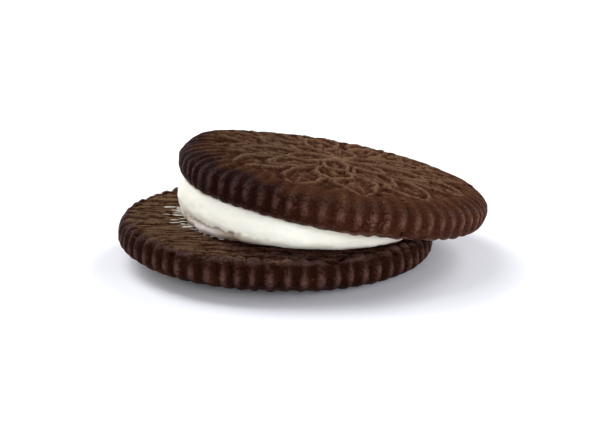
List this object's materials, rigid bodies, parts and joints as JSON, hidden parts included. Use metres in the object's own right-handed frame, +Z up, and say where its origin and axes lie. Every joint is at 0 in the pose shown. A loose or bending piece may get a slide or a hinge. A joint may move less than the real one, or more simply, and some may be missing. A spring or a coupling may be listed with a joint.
{
  "type": "chocolate sandwich cookie",
  "caption": "Round cocoa sandwich cookie with fluted, embossed wafers; the top wafer has slid and tipped, so a wedge of white creme shows between them.",
  "frame": {"origin": "on the surface that the cookie lies on, under the middle of its box", "axes": "+X along the slide of the upper wafer, towards its lower side; +Z up"},
  "size_m": [0.0528, 0.0476, 0.0164],
  "materials": {
    "cocoa_wafer": "baked dark cocoa wafer, dry and finely porous, with a faint sheen",
    "vanilla_creme": "soft off-white vanilla creme, smooth and slightly translucent"
  },
  "bodies": {
    "root": {"wafer_top": "cocoa_wafer", "creme": "vanilla_creme", "wafer_bottom": "cocoa_wafer"}
  },
  "joints": []
}
